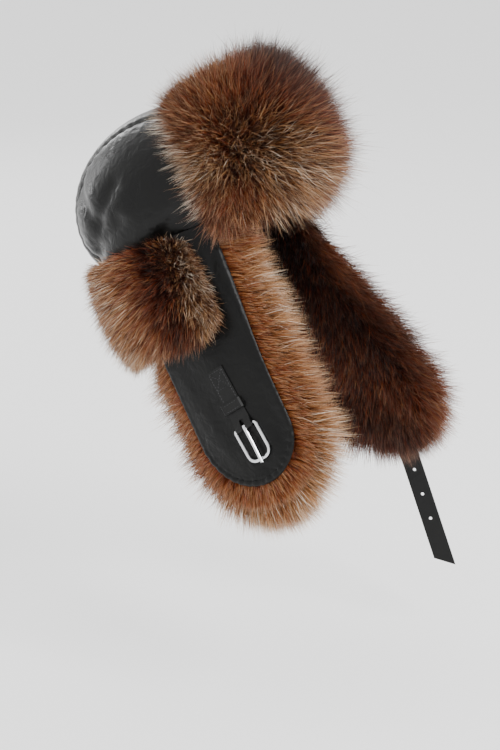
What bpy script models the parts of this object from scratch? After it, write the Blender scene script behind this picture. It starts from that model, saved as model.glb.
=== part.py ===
"""Aviator hat of black leather and long fur: a three-panel crown, a turned-up front flap,
two long ear flaps furred inside, a fur band over the nape, a buckle on the right flap and
its strap on the left one.

Metres, +Z up. The hat's own frame has its origin at the centre of the head opening, in the
plane of the rim, with +X to the wearer's left and -Y to the front. The empty "hat" tips that
frame back as the hat is worn.
"""

import math
import random

import bmesh
import bpy
from mathutils import Matrix, Vector

# Fit and walls
GAP = 0.0004
SOFT_SEAT = 0.0008
CROWN_WALL = 0.003
LEATHER = 0.002
WEAR_TILT = math.radians(25)

# Crown. Its sphere has this many segments round the ears and half as many from ear to ear.
CROWN_SEGMENTS = 44
CROWN_HALF_WIDTH = 0.090
CROWN_HALF_LENGTH = 0.103
CROWN_HEIGHT = 0.115
CROWN_WIDEST = 0.030
CROWN_TUCK = 0.080
STRIP_FRONT_WIDTH = 0.036
STRIP_BACK_WIDTH = 0.124

# Soft folds pressed into the crown. Turns are shares of a full turn from the front to the
# wearer's right, heights are shares of the crown's height, width and depth are shares of
# the crown's wall.
CROWN_FOLDS = (
    dict(turn_a=0.40, height_a=0.02, turn_b=0.27, height_b=0.24, width=2.6, depth=1.1),
    dict(turn_a=0.35, height_a=0.12, turn_b=0.26, height_b=0.52, width=2.4, depth=0.8),
    dict(turn_a=0.31, height_a=0.30, turn_b=0.36, height_b=0.62, width=2.8, depth=0.9),
    dict(turn_a=0.22, height_a=0.02, turn_b=0.15, height_b=0.20, width=2.4, depth=0.7),
    dict(turn_a=0.66, height_a=0.06, turn_b=0.74, height_b=0.34, width=2.8, depth=1.0),
    dict(turn_a=0.56, height_a=0.04, turn_b=0.47, height_b=0.22, width=2.6, depth=0.9),
)

# Ear flaps
FLAP_LENGTH = 0.228
FLAP_HALF_WIDTH = 0.0475
FLAP_CENTRE = -0.013
FLAP_LEAN = math.radians(5.7)
FLAP_FLARE_RIGHT = math.radians(2.9)
FLAP_FLARE_LEFT = math.radians(18.8)
FLAP_SETTLE = 0.150
FLAP_BOW = 0.006

# Fur. Hair packs to a dense body over the pelt, and a lock stands out of that body.
PELT = 0.004
FLAP_FUR_EDGE = 0.010
FLAP_FUR_RIM_LOCK_RIGHT = 0.038
FLAP_FUR_RIM_LOCK_LEFT = 0.050
FLAP_FUR_BODY_RIGHT = 0.008
FLAP_FUR_BODY_LEFT = 0.014
FLAP_FUR_LOCK_RIGHT = 0.013
FLAP_FUR_LOCK_LEFT = 0.019

# Shares: how thin the flap fur is under the rim, and how far down the flap it gets full
FLAP_FUR_TOP_SHARE = 0.30
FLAP_FUR_FULL_SHARE = 0.42

BRIM_HEIGHT = 0.101
BRIM_HALF_TURN = math.radians(45)
BRIM_BODY = 0.030
BRIM_LOCK = 0.036
BRIM_RIM_LOCK = 0.042

# Shares: how much lower the front flap is at its ends, and how far it backs off for each metre up
BRIM_END_SHARE = 0.06
BRIM_BACK_SHARE = 0.06

NAPE_DROP = 0.086
NAPE_TAPER = 0.20
NAPE_HALF_TURN = math.radians(112)
NAPE_BODY = 0.013
NAPE_LOCK = 0.024

# Shares: how much of the nape band's half length rounds off at its end, and how round that is
NAPE_END_SHARE = 0.14
NAPE_END_ROUND = 0.62

# Buckle on the right flap. Its bar crosses the flap this far above the flap's end.
BUCKLE_FROM_END = 0.052
BUCKLE_FORWARD = 0.008
BUCKLE_TURN = math.radians(5)
CHAPE_WIDTH = 0.018
CHAPE_LENGTH = 0.056
CHAPE_PLY = 0.0015
BAR_RADIUS = 0.0012
BAR_CLEARANCE = 0.0003
EYE_WALL = 0.0014

# How many eye radii behind the bar the eye's round runs into the flat chape
EYE_BLEND = 2.6
WIRE_RADIUS = 0.0015
FRAME_LENGTH = 0.031
FRAME_CORNER = 0.0075
BAR_CORNER = 0.0018
PRONG_WIDTH = 0.003
PRONG_CURL = 0.0009
PRONG_SLOT = 0.007
KEEPER_WIDTH = 0.009
KEEPER_UP = 0.0205
KEEPER_WALL = 0.0014
KEEPER_ROOM = 0.002

# Strap on the left flap
STRAP_WIDTH = 0.018
STRAP_THICKNESS = 0.002
STRAP_SEWN = 0.030
STRAP_HANG = 0.168
STRAP_SLANT = 0.012
STRAP_TWIST = math.radians(17)
STRAP_BACKWARD = 0.06
STRAP_REAR = 0.014
STRAP_HOLE = 0.0033
STRAP_HOLE_PITCH = 0.0254
STRAP_HOLE_FROM_TIP = 0.051
STRAP_HOLES = 3

RIGHT, LEFT = -1, 1

BLACK = (0.012, 0.012, 0.013, 1.0)
BROWN_FUR = (0.16, 0.065, 0.028, 1.0)
TAN_FUR = (0.24, 0.11, 0.045, 1.0)
DARK_FUR = (0.06, 0.024, 0.014, 1.0)
CHROME = (0.72, 0.72, 0.73, 1.0)


def clear_scene():
    for old in list(bpy.data.objects):
        bpy.data.objects.remove(old, do_unlink=True)


def material(name, colour, roughness, metallic=0.0):
    made = bpy.data.materials.new(name)
    made.use_nodes = True
    shader = made.node_tree.nodes["Principled BSDF"]
    shader.inputs["Base Color"].default_value = colour
    shader.inputs["Roughness"].default_value = roughness
    shader.inputs["Metallic"].default_value = metallic
    return made


def object_from(name, mesh_builder, finish, parent, smooth_angle=None):
    """A named object from a bmesh, carried by its parent empty."""
    mesh = bpy.data.meshes.new(name)
    bmesh.ops.recalc_face_normals(mesh_builder, faces=mesh_builder.faces)
    mesh_builder.to_mesh(mesh)
    mesh_builder.free()
    mesh.materials.append(finish)
    if smooth_angle is not None:
        mesh.shade_smooth()
        mesh.set_sharp_from_angle(angle=math.radians(smooth_angle))
    made = bpy.data.objects.new(name, mesh)
    bpy.context.collection.objects.link(made)
    made.parent = parent
    return made


def empty(name, parent, place):
    made = bpy.data.objects.new(name, None)
    bpy.context.collection.objects.link(made)
    made.parent = parent
    made.matrix_local = place
    return made


def smooth_share(value):
    share = min(max(value, 0.0), 1.0)
    return share * share * (3 - 2 * share)


def mix(a, b, share):
    return a + (b - a) * share


# The crown's outer form


def crown_level(height, inset=0.0):
    """Half width and half length of the crown at a height over the rim."""
    reach = (CROWN_HEIGHT - CROWN_WIDEST if height > CROWN_WIDEST else CROWN_TUCK) - inset
    share = min(abs(height - CROWN_WIDEST) / reach, 1.0)
    width = math.sqrt(1 - share * share)
    return (CROWN_HALF_WIDTH - inset) * width, (CROWN_HALF_LENGTH - inset) * width


RIM_HALF_WIDTH, RIM_HALF_LENGTH = crown_level(0.0)


def fold_depth(point):
    """How far the folds press the crown in at a point of its outer form."""
    turn = math.atan2(-point.x / CROWN_HALF_WIDTH, -point.y / CROWN_HALF_LENGTH) / math.tau % 1
    place = Vector((turn * math.tau * CROWN_HALF_WIDTH, point.z))
    total = 0.0
    for fold in CROWN_FOLDS:
        ends = [
            Vector((fold["turn_" + end] * math.tau * CROWN_HALF_WIDTH, fold["height_" + end] * CROWN_HEIGHT))
            for end in "ab"
        ]
        run = ends[1] - ends[0]
        share = min(max((place - ends[0]).dot(run) / run.length_squared, 0.0), 1.0)
        away = (place - ends[0] - run * share).length / (fold["width"] * CROWN_WALL)
        total += fold["depth"] * CROWN_WALL * math.exp(-away * away)
    return total


def crown_skin(builder, inset):
    """One face of the crown's wall: a sphere with its poles at the ears, drawn out to size."""
    made = bmesh.ops.create_uvsphere(
        builder,
        u_segments=CROWN_SEGMENTS,
        v_segments=CROWN_SEGMENTS // 2,
        radius=1.0,
        matrix=Matrix.Rotation(math.pi / 2, 4, "Y"),
    )
    for vertex in made["verts"]:
        x, y, z = vertex.co
        up = CROWN_HEIGHT - CROWN_WIDEST if z > 0 else CROWN_TUCK
        outer = Vector((x * CROWN_HALF_WIDTH, y * CROWN_HALF_LENGTH, CROWN_WIDEST + z * up))
        inward = inset + fold_depth(outer)
        vertex.co = (
            x * (CROWN_HALF_WIDTH - inward),
            y * (CROWN_HALF_LENGTH - inward),
            CROWN_WIDEST + z * (up - inward),
        )
    return made["verts"]


def cut_away(builder, place, normal, fill):
    """Removes what lies on the normal's side of a plane."""
    cut = bmesh.ops.bisect_plane(
        builder,
        geom=builder.verts[:] + builder.edges[:] + builder.faces[:],
        plane_co=place,
        plane_no=normal,
        clear_outer=True,
        dist=1e-7,
    )
    edges = [item for item in cut["geom_cut"] if isinstance(item, bmesh.types.BMEdge)]
    if fill:
        bmesh.ops.contextual_create(builder, geom=edges)
    return edges


def crown_panel(low, high):
    """The crown's wall between two seams that run from front to back.

    A seam is given by its side and by how far it stands off the middle of the gap. The centre
    strip between the seams widens evenly from the crown's front to its back."""
    builder = bmesh.new()
    crown_skin(builder, 0.0)
    inner = crown_skin(builder, CROWN_WALL)
    bmesh.ops.reverse_faces(builder, faces=list({face for vertex in inner for face in vertex.link_faces}))
    rim = cut_away(builder, (0, 0, 0), (0, 0, -1), fill=False)
    bmesh.ops.bridge_loops(builder, edges=rim)
    half_width = (STRIP_FRONT_WIDTH + STRIP_BACK_WIDTH) / 4
    spread = (STRIP_BACK_WIDTH - STRIP_FRONT_WIDTH) / 2 / (2 * CROWN_HALF_LENGTH)
    for seam, cut_side in ((low, -1), (high, 1)):
        if seam is not None:
            side, stand = seam
            place = (side * half_width + stand, 0, 0)
            cut_away(builder, place, (cut_side, -cut_side * side * spread, 0), fill=True)
    return builder


# The ear flaps' and the nape's outer form


def flap_flare(side):
    """How far a flap swings out for each metre that it drops."""
    return math.tan(FLAP_FLARE_RIGHT if side == RIGHT else FLAP_FLARE_LEFT)


def flap_surface(side, across, drop):
    """Outer leather of an ear flap: it starts with the rim's curve and hangs nearly flat."""
    y = FLAP_CENTRE + across
    rim_curve = RIM_HALF_WIDTH * (1 - math.sqrt(max(1 - (y / RIM_HALF_LENGTH) ** 2, 0.0)))
    bow = FLAP_BOW * (across / FLAP_HALF_WIDTH) ** 2
    settled = smooth_share(drop / FLAP_SETTLE)
    x = RIM_HALF_WIDTH + flap_flare(side) * drop - mix(rim_curve, bow, settled)
    return Vector((side * x, y - math.tan(FLAP_LEAN) * drop, -drop))


# Where the flap's rear edge meets the nape, as a turn from the front
NAPE_SIDE_TURN = math.acos(-(FLAP_CENTRE + FLAP_HALF_WIDTH) / RIM_HALF_LENGTH)


def skirt_surface(turn, drop):
    """The leather below the rim at a turn from the front: an ear flap's, or the nape's behind it."""
    turn %= math.tau
    side = RIGHT if turn < math.pi else LEFT
    from_front = turn if turn < math.pi else math.tau - turn
    if from_front <= NAPE_SIDE_TURN:
        return flap_surface(side, -RIM_HALF_LENGTH * math.cos(from_front) - FLAP_CENTRE, drop)
    edge = flap_surface(side, FLAP_HALF_WIDTH, drop)
    back = RIM_HALF_LENGTH - NAPE_TAPER * drop
    behind = (math.cos(NAPE_SIDE_TURN) - math.cos(from_front)) / (math.cos(NAPE_SIDE_TURN) + 1)
    return Vector((
        edge.x * math.sin(from_front) / math.sin(NAPE_SIDE_TURN),
        mix(edge.y, back, behind),
        -drop,
    ))


def offset(surface, u, v, out):
    """A point that stands off a surface, measured square to it and away from the head."""
    step = 1e-4
    place = surface(u, v)
    square = (surface(u + step, v) - surface(u - step, v)).cross(surface(u, v + step) - surface(u, v - step))
    square.normalize()
    if square.dot(Vector((place.x, place.y, 0))) < 0:
        square.negate()
    return place + square * out


def tongue_rows(length, count):
    """Drops of a flap's rows, closer together round its end."""
    straight = length - FLAP_HALF_WIDTH
    rows = [straight * share / count for share in range(count)]
    rounds = count // 2
    last = math.radians(84)
    return rows + [straight + FLAP_HALF_WIDTH * math.sin(last * share / rounds) for share in range(rounds + 1)]


def tongue_half_width(drop, length):
    past = max(drop - (length - FLAP_HALF_WIDTH), 0.0) / FLAP_HALF_WIDTH
    return FLAP_HALF_WIDTH * math.sqrt(max(1 - past * past, 0.0))


def closed_sheet(front, back, front_tip=None, rim_tip=None):
    """One closed body between two grids of points. A tip function raises each cell to a lock."""
    builder = bmesh.new()
    rows, columns = len(front), len(front[0])
    faces = [[[builder.verts.new(point) for point in row] for row in grid] for grid in (front, back)]

    def cell(corners, tip):
        if tip is None:
            builder.faces.new(corners)
            return
        centre = sum((corner.co for corner in corners), Vector()) / 4
        top = builder.verts.new(centre + tip)
        for index in range(4):
            builder.faces.new((corners[index], corners[(index + 1) % 4], top))

    for i in range(rows - 1):
        for j in range(columns - 1):
            for face, grid in enumerate(faces):
                corners = [grid[i][j], grid[i][j + 1], grid[i + 1][j + 1], grid[i + 1][j]]
                where = ((i + 0.5) / (rows - 1), (j + 0.5) / (columns - 1))
                cell(corners[:: -1 if face else 1], front_tip(*where) if front_tip and not face else None)
    around = (
        [(0, j) for j in range(columns)]
        + [(i, columns - 1) for i in range(1, rows)]
        + [(rows - 1, j) for j in range(columns - 2, -1, -1)]
        + [(i, 0) for i in range(rows - 2, 0, -1)]
    )
    for start, end in zip(around, around[1:] + around[:1]):
        corners = [faces[0][start[0]][start[1]], faces[1][start[0]][start[1]]]
        corners += [faces[1][end[0]][end[1]], faces[0][end[0]][end[1]]]
        row = (start[0] + end[0]) / 2 / (rows - 1)
        column = (start[1] + end[1]) / 2 / (columns - 1)
        cell(corners, rim_tip(row, column) if rim_tip else None)
    return builder


def ear_flap_leather(side):
    rows = [max(drop, GAP) for drop in tongue_rows(FLAP_LENGTH, 10)]
    columns = 9
    grids = []
    for out in (0.0, -LEATHER):
        grids.append([
            [
                offset(
                    lambda across, down: flap_surface(side, across, down),
                    tongue_half_width(drop, FLAP_LENGTH) * (2 * column / (columns - 1) - 1),
                    drop,
                    out,
                )
                for column in range(columns)
            ]
            for drop in rows
        ])
    return closed_sheet(*grids)


def bulge(row, column, sharpness=4):
    """1 over the middle of a sheet, falling to 0 along its edge."""
    return (1 - abs(2 * row - 1) ** sharpness) * (1 - abs(2 * column - 1) ** sharpness)


def sheet_grid(place, rows, columns, out):
    """Points over a sheet, each as far out as the out function says there."""
    shares = [(i / (rows - 1), [j / (columns - 1) for j in range(columns)]) for i in range(rows)]
    return [[place(row, column, out(row, column)) for column in across] for row, across in shares]


def ear_flap_fur(side, body, lock, rim_lock, seed):
    """Pelt against the flap's inner face, with locks inward and a fringe past the leather's edge."""
    draw = random.Random(seed)
    length = FLAP_LENGTH + FLAP_FUR_EDGE
    rows = [max(drop, 6 * GAP) for drop in tongue_rows(length, 9)]
    columns = 9

    def surface(across, down):
        return flap_surface(side, across, down)

    def below_nape(drop):
        """0 where the flap's rear edge meets the nape, 1 where it hangs free."""
        return smooth_share((drop - NAPE_DROP) / NAPE_LOCK)

    def place(row, column, out):
        index = row * (len(rows) - 1)
        low = min(int(index), len(rows) - 2)
        drop = mix(rows[low], rows[low + 1], index - low)
        half = tongue_half_width(drop, length)
        share = half / FLAP_HALF_WIDTH
        front = -half - FLAP_FUR_EDGE * share
        rear = half + mix(-PELT, FLAP_FUR_EDGE, below_nape(drop)) * share
        return offset(surface, mix(front, rear, column), drop, out)

    def fringe_way(row, column):
        """Away from the flap's middle, along its face."""
        middle = place(min(row, 0.72), 0.5, 0)
        return (place(row, column, 0) - middle).normalized()

    def thin_at_top(row):
        return mix(FLAP_FUR_TOP_SHARE, 1.0, smooth_share(row / FLAP_FUR_FULL_SHARE))

    def inner_lock(row, column):
        inward = place(row, column, -1) - place(row, column, 0)
        lean = fringe_way(row, column) * abs(2 * column - 1) + Vector((0, 0, -0.5))
        return (inward + lean * 0.55) * lock * thin_at_top(row) * draw.uniform(0.85, 1.1)

    def fringe(row, column):
        inward = place(row, column, -1) - place(row, column, 0)
        if row == 0:
            return inward * lock * 0.3 + Vector((0, 0, 6 * GAP)) * 0.5
        full = 1.0 if column == 0 else mix(0.55, 1.0, smooth_share(row / 0.35))
        reach = rim_lock * full * draw.uniform(0.9, 1.1)
        free = below_nape(-place(row, column, 0).z) if column == 1 else 1.0
        sweep = fringe_way(row, column) + Vector((0, 0, -0.15))
        return (sweep * free + inward * 0.25) * reach

    back = -LEATHER - GAP

    def face(row, column):
        return back - PELT - body * bulge(row, column) * thin_at_top(row)

    front_grid = sheet_grid(place, len(rows), columns, face)
    back_grid = sheet_grid(place, len(rows), columns, lambda row, column: back)
    return closed_sheet(front_grid, back_grid, inner_lock, fringe)


def nape_leather():
    columns, rows = 21, 6
    start = NAPE_SIDE_TURN + 2 * GAP / RIM_HALF_WIDTH
    grids = []
    for out in (0.0, -LEATHER):
        grids.append([
            [
                offset(
                    skirt_surface,
                    mix(start, math.tau - start, column / (columns - 1)),
                    mix(GAP, NAPE_DROP, row / (rows - 1)),
                    out,
                )
                for column in range(columns)
            ]
            for row in range(rows)
        ])
    return closed_sheet(*grids)


def nape_fur(seed):
    """Fur band over the nape and the upper rear of both ear flaps, with rounded ends."""
    draw = random.Random(seed)
    columns, rows = 27, 8
    middle = 0.5 * NAPE_DROP

    def place(row, column, out):
        along = 2 * column - 1
        past = max(abs(along) - 1 + NAPE_END_SHARE, 0.0) / NAPE_END_SHARE
        half = (middle - 3 * GAP) * math.sqrt(1 - (NAPE_END_ROUND * past) ** 2)
        turn = math.pi + along * NAPE_HALF_TURN
        return offset(skirt_surface, turn, middle + (2 * row - 1) * half, out)

    def face(row, column):
        return GAP + PELT + NAPE_BODY * bulge(row, column) * mix(0.5, 1.0, row)

    def outward(row, column):
        return place(row, column, 1) - place(row, column, 0)

    def sideways(row, column):
        """Along the band towards its nearer end."""
        step = 0.01 if column > 0.5 else -0.01
        return (place(row, column, 0) - place(row, column - step, 0)).normalized()

    def lock(row, column):
        full = mix(0.45, 1.0, smooth_share(row / 0.55))
        end = max(abs(2 * column - 1) - 0.7, 0.0) / 0.3
        lean = sideways(row, column) * 0.8 * end + Vector((0, 0, -0.75))
        return (outward(row, column) * 0.85 + lean) * NAPE_LOCK * full * draw.uniform(0.9, 1.1)

    def fringe(row, column):
        reach = NAPE_LOCK * draw.uniform(0.85, 1.05)
        if row == 0:
            return outward(row, column) * reach * 0.35
        if row == 1:
            return (outward(row, column) * 0.45 + Vector((0, 0, -0.7))) * reach
        return (sideways(row, column) + outward(row, column) * 0.5 + Vector((0, 0, 0.5 - row))) * reach

    front_grid = sheet_grid(place, rows, columns, face)
    back_grid = sheet_grid(place, rows, columns, lambda row, column: GAP)
    return closed_sheet(front_grid, back_grid, lock, fringe)


def brim_fur(seed):
    """Turned-up front flap: it hugs the crown to its widest level, then stands nearly straight."""
    draw = random.Random(seed)
    columns, rows = 17, 8
    low = 3 * GAP

    def place(row, column, out):
        along = 2 * column - 1
        top = BRIM_HEIGHT * (1 - BRIM_END_SHARE * abs(along) ** 5)
        height = mix(low, top, row)
        wide, long = crown_level(min(height, CROWN_WIDEST))
        back_off = max(height - CROWN_WIDEST, 0.0) * BRIM_BACK_SHARE
        turn = along * BRIM_HALF_TURN
        return Vector((
            (wide + SOFT_SEAT - back_off + out) * math.sin(turn),
            -(long + SOFT_SEAT - back_off + out) * math.cos(turn),
            height,
        ))

    def face(row, column):
        return 2 * PELT + BRIM_BODY * bulge(row, column)

    def outward(column):
        return (place(0.5, column, 1) - place(0.5, column, 0)).normalized()

    def sideways(column):
        turn = (2 * column - 1) * BRIM_HALF_TURN
        return Vector((math.cos(turn), math.sin(turn), 0)) * (1 if column > 0.5 else -1)

    def lock(row, column):
        end = abs(2 * column - 1)
        full = mix(1.0, 0.72, end**3) * mix(1.0, 0.80, max(row - 0.6, 0.0) / 0.4)
        lean = Vector((0, 0, mix(-0.30, 0.55, row))) + sideways(column) * 0.45 * end**2
        return (outward(column) + lean) * BRIM_LOCK * full * draw.uniform(0.92, 1.06)

    def fringe(row, column):
        reach = BRIM_RIM_LOCK * draw.uniform(0.9, 1.1)
        if row == 1:
            return (outward(column) * 0.20 + Vector((0, 0, 1))) * reach
        if row == 0:
            return (outward(column) + Vector((0, 0, -0.35))) * reach * 0.45
        return (sideways(column) + outward(column) * 0.25 + Vector((0, 0, row - 0.5)) * 0.5) * reach

    front_grid = sheet_grid(place, rows, columns, face)
    back_grid = sheet_grid(place, rows, columns, lambda row, column: 0.0)
    return closed_sheet(front_grid, back_grid, lock, fringe)


# Buckle: the chape is a folded strap end with an eye for the bar, the keeper a loop over it

EYE_RADIUS = BAR_RADIUS + BAR_CLEARANCE + EYE_WALL
BAR_HEIGHT = GAP + EYE_RADIUS
CHAPE_TOP = GAP + 2 * CHAPE_PLY
FRAME_HALF_WIDTH = CHAPE_WIDTH / 2 + BAR_CORNER + 2 * BAR_CLEARANCE


def buckle_place():
    """Frame of the buckle: X along the bar to the rear, Y down the flap, Z out of the leather."""

    def surface(across, drop):
        return flap_surface(RIGHT, across, drop)

    drop = FLAP_LENGTH - BUCKLE_FROM_END
    origin = surface(-BUCKLE_FORWARD, drop)
    out = (offset(surface, -BUCKLE_FORWARD, drop, 1.0) - origin).normalized()
    down = surface(-BUCKLE_FORWARD, drop + 0.01) - origin
    down = (down - out * down.dot(out)).normalized()
    rear = down.cross(out)
    down, rear = (
        down * math.cos(BUCKLE_TURN) - rear * math.sin(BUCKLE_TURN),
        rear * math.cos(BUCKLE_TURN) + down * math.sin(BUCKLE_TURN),
    )
    axes = Matrix((rear, down, out)).transposed().to_4x4()
    return Matrix.Translation(origin) @ axes


def extruded(outline, axis_vector):
    """A closed prism: the outline's face, pushed along a vector."""
    builder = bmesh.new()
    face = builder.faces.new([builder.verts.new(point) for point in outline])
    pushed = bmesh.ops.extrude_face_region(builder, geom=[face])
    top = [item for item in pushed["geom"] if isinstance(item, bmesh.types.BMVert)]
    bmesh.ops.translate(builder, verts=top, vec=axis_vector)
    bmesh.ops.recalc_face_normals(builder, faces=builder.faces)
    return builder


def swept(path, frames, section, closed):
    """A section carried along a path. Each frame gives the section's two axes there."""
    builder = bmesh.new()
    rings = []
    for index, (place, (first, second)) in enumerate(zip(path, frames)):
        rings.append([builder.verts.new(place + first * a + second * b) for a, b in section(index)])
    pairs = list(zip(rings, rings[1:] + rings[:1])) if closed else list(zip(rings, rings[1:]))
    sides = len(rings[0])
    for ring, following in pairs:
        for k in range(sides):
            near, far = k, (k + 1) % sides
            builder.faces.new((ring[near], ring[far], following[far], following[near]))
    if not closed:
        builder.faces.new(rings[0][::-1])
        builder.faces.new(rings[-1])
    bmesh.ops.recalc_face_normals(builder, faces=builder.faces)
    return builder


def cut_with(target, name, builder, parent):
    """A hidden cutter, taken out of the target."""
    cutter = object_from(name, builder, target.data.materials[0], parent)
    cutter.hide_render = True
    cutter.display_type = "WIRE"
    boolean = target.modifiers.new(name, "BOOLEAN")
    boolean.operation = "DIFFERENCE"
    boolean.object = cutter
    boolean.solver = "EXACT"


def cylinder(radius, length, segments, place):
    builder = bmesh.new()
    bmesh.ops.create_cone(
        builder, cap_ends=True, segments=segments, radius1=radius, radius2=radius, depth=length, matrix=place
    )
    return builder


def box(low, high):
    builder = bmesh.new()
    size = [b - a for a, b in zip(low, high)]
    middle = [(a + b) / 2 for a, b in zip(low, high)]
    bmesh.ops.create_cube(builder, size=1.0, matrix=Matrix.Translation(middle) @ Matrix.Diagonal((*size, 1)))
    return builder


def buckle_chape(parent, finish):
    half = CHAPE_WIDTH / 2
    side = [Vector((-half, -CHAPE_LENGTH, GAP)), Vector((-half, 0, GAP))]
    for step in range(1, 13):
        angle = math.radians(-90 + step * 18.5)
        side.append(Vector((-half, EYE_RADIUS * math.cos(angle), BAR_HEIGHT + EYE_RADIUS * math.sin(angle))))
    side += [Vector((-half, -EYE_BLEND * EYE_RADIUS, CHAPE_TOP)), Vector((-half, -CHAPE_LENGTH, CHAPE_TOP))]
    made = object_from("buckle_chape", extruded(side, (CHAPE_WIDTH, 0, 0)), finish, parent, 40)
    along_bar = Matrix.Translation((0, 0, BAR_HEIGHT)) @ Matrix.Rotation(math.pi / 2, 4, "Y")
    eye = cylinder(BAR_RADIUS + BAR_CLEARANCE, 2 * CHAPE_WIDTH, 16, along_bar)
    cut_with(made, "eye_cutter", eye, parent)
    slot = PRONG_WIDTH / 2 + 2 * BAR_CLEARANCE
    cut_with(
        made,
        "slot_cutter",
        box((-slot, -PRONG_SLOT, -EYE_RADIUS), (slot, 2 * EYE_RADIUS, 2 * EYE_RADIUS + BAR_HEIGHT)),
        parent,
    )


def buckle_keeper(parent, finish):
    """An arch over the chape, its feet on the flap."""
    inner = CHAPE_WIDTH / 2 + BAR_CLEARANCE
    outer = inner + KEEPER_WALL
    ceiling = CHAPE_TOP + KEEPER_ROOM
    top = ceiling + KEEPER_WALL
    soft = KEEPER_WALL
    outline = [
        (-outer, GAP), (-outer, top - soft), (-outer + soft, top), (outer - soft, top),
        (outer, top - soft), (outer, GAP), (inner, GAP), (inner, ceiling), (-inner, ceiling), (-inner, GAP),
    ]
    start = -KEEPER_UP - KEEPER_WIDTH / 2
    side = [Vector((x, start, z)) for x, z in outline]
    object_from("buckle_keeper", extruded(side, (0, KEEPER_WIDTH, 0)), finish, parent)


def ring_section(radius, sides):
    return [
        (radius * math.cos(math.tau * k / sides), radius * math.sin(math.tau * k / sides)) for k in range(sides)
    ]


def buckle_frame(parent, finish):
    """Round wire bent to a rounded U, closed by the thinner bar in the chape's eye."""
    path, radii = [], []
    corner = BAR_CORNER
    for step in range(9):
        path.append(Vector((mix(-1, 1, step / 8) * (FRAME_HALF_WIDTH - corner), 0, BAR_HEIGHT)))
        radii.append(BAR_RADIUS)
    turns = (
        (FRAME_HALF_WIDTH - corner, corner, corner, -90),
        (FRAME_HALF_WIDTH - FRAME_CORNER, FRAME_LENGTH - FRAME_CORNER, FRAME_CORNER, 0),
        (-FRAME_HALF_WIDTH + FRAME_CORNER, FRAME_LENGTH - FRAME_CORNER, FRAME_CORNER, 90),
        (-FRAME_HALF_WIDTH + corner, corner, corner, 180),
    )
    for x, y, radius, start in turns:
        steps = 4 if radius == corner else 8
        for step in range(steps + 1):
            if radius == corner and (start, step) in ((-90, 0), (180, steps)):
                continue
            angle = math.radians(start + 90 * step / steps)
            path.append(Vector((x + radius * math.cos(angle), y + radius * math.sin(angle), BAR_HEIGHT)))
            radii.append(WIRE_RADIUS)
    frames = []
    for index in range(len(path)):
        ahead = path[(index + 1) % len(path)] - path[index - 1]
        frames.append((ahead.cross(Vector((0, 0, 1))).normalized(), Vector((0, 0, 1))))
    wire = swept(path, frames, lambda index: ring_section(radii[index], 10), closed=True)
    object_from("buckle_frame", wire, finish, parent, 60)


def buckle_prong(parent, finish):
    """A tongue curled round the bar, its tip resting on the frame's end."""
    curl = BAR_RADIUS + BAR_CLEARANCE + PRONG_CURL / 2
    rest = BAR_HEIGHT + WIRE_RADIUS + BAR_CLEARANCE + PRONG_CURL
    path, sizes = [], []
    for step in range(13):
        angle = math.radians(-15 - step * 255 / 12)
        path.append(Vector((0, curl * math.cos(angle), BAR_HEIGHT + curl * math.sin(angle))))
        sizes.append((PRONG_WIDTH / 2, PRONG_CURL / 2))
    start = path[-1]
    reach = FRAME_LENGTH + 2 * WIRE_RADIUS
    for step in range(1, 13):
        share = step / 12
        dip = -0.3 * PRONG_WIDTH * math.sin(math.pi * share) * (1 - share)
        path.append(Vector((0, start.y + reach * share, mix(start.z, rest + PRONG_CURL / 2, share) + dip)))
        body = smooth_share(share * 4) * smooth_share((1.15 - share) * 4)
        sizes.append((mix(0.5, 0.42, share) * PRONG_WIDTH, mix(0.5, 0.95, body) * PRONG_CURL))
    frames = []
    for index in range(len(path)):
        ahead = path[min(index + 1, len(path) - 1)] - path[max(index - 1, 0)]
        frames.append((Vector((1, 0, 0)), Vector((1, 0, 0)).cross(ahead).normalized()))

    def section(index):
        wide, thick = sizes[index]
        return [(a * wide, b * thick) for a, b in ring_section(1.0, 8)]

    object_from("buckle_prong", swept(path, frames, section, closed=False), finish, parent, 60)


def strap_route():
    """Stations down the left flap's outer face and on below it: (place, width axis, face axis)."""

    def surface(across, drop):
        return flap_surface(LEFT, across, drop)

    stations = []
    stand = SOFT_SEAT + STRAP_THICKNESS / 2
    sewn_steps, hang_steps = 4, 24
    for step in range(sewn_steps + 1):
        drop = FLAP_LENGTH - STRAP_SEWN * (1 - step / sewn_steps)
        stations.append(offset(surface, STRAP_REAR, drop, stand))
    way = (stations[-1] - stations[-2]).normalized()
    hang = Vector((0, STRAP_BACKWARD, -1)).normalized()
    pace = STRAP_HANG / hang_steps
    for step in range(hang_steps):
        ahead = way.lerp(hang, smooth_share((step + 0.5) * pace / (0.4 * STRAP_HANG))).normalized()
        stations.append(stations[-1] + ahead * pace)
    half = STRAP_WIDTH / 2
    flat = surface(STRAP_REAR + half, FLAP_LENGTH) - surface(STRAP_REAR - half, FLAP_LENGTH)
    flat.normalize()
    turned = Matrix.Rotation(STRAP_TWIST, 3, "Z") @ flat
    frames = []
    for index, place in enumerate(stations):
        ahead = stations[min(index + 1, len(stations) - 1)] - stations[max(index - 1, 0)]
        wide = flat.lerp(turned, smooth_share((index - sewn_steps) / (0.5 * hang_steps)))
        wide = (wide - ahead * wide.dot(ahead) / ahead.length_squared).normalized()
        frames.append((wide, ahead.normalized().cross(wide)))
    return stations, frames


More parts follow.
